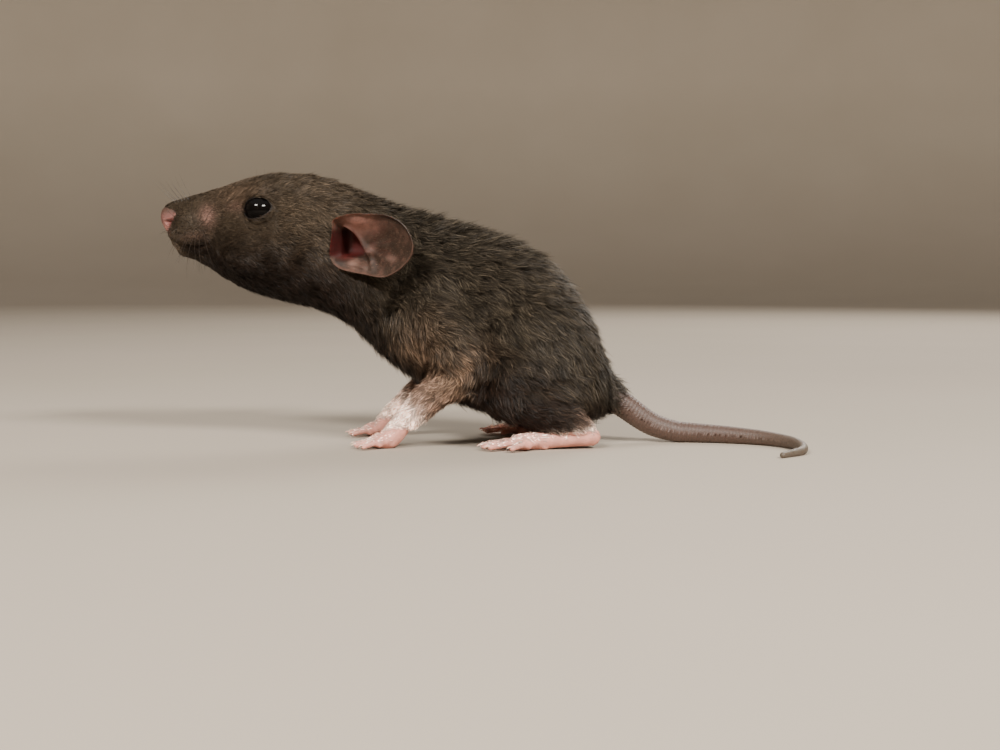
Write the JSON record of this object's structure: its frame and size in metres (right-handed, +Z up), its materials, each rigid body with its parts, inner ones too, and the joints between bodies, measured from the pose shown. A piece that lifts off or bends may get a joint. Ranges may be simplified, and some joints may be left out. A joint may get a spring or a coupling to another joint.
{
  "type": "dumbo rat",
  "caption": "Young dumbo rat with dark grey-brown fur, low round ears and pale forelegs, crouching on all fours with its head raised and its tail laid on the floor.",
  "frame": {"origin": "middle of the footprint of the whole animal's bounding box, on the floor", "axes": "the rat faces -X, its left side is towards -Y, +Z is up"},
  "size_m": [0.1064, 0.0394, 0.0456],
  "materials": {
    "coat": "soft dark grey-brown fur",
    "pale_coat": "soft fur, grey-brown above and cream towards the wrist",
    "pink_skin": "bare pink skin",
    "ear_skin": "thin bare brown-pink skin",
    "tail_skin": "finely scaled dark brown skin",
    "eye": "wet glossy black"
  },
  "bodies": {
    "root": {"head": "coat", "neck": "coat", "torso": "coat", "hindleg_left": "coat", "hindleg_right": "coat", "foreleg_left": "pale_coat", "foreleg_right": "pale_coat", "nose": "pink_skin", "forepaw_left": "pink_skin", "forepaw_right": "pink_skin", "hindfoot_left": "pink_skin", "hindfoot_right": "pink_skin", "ear_left": "ear_skin", "ear_right": "ear_skin", "eye_left": "eye", "eye_right": "eye", "tail_base": "tail_skin", "tail_middle": "tail_skin", "tail_tip": "tail_skin"}
  },
  "joints": []
}
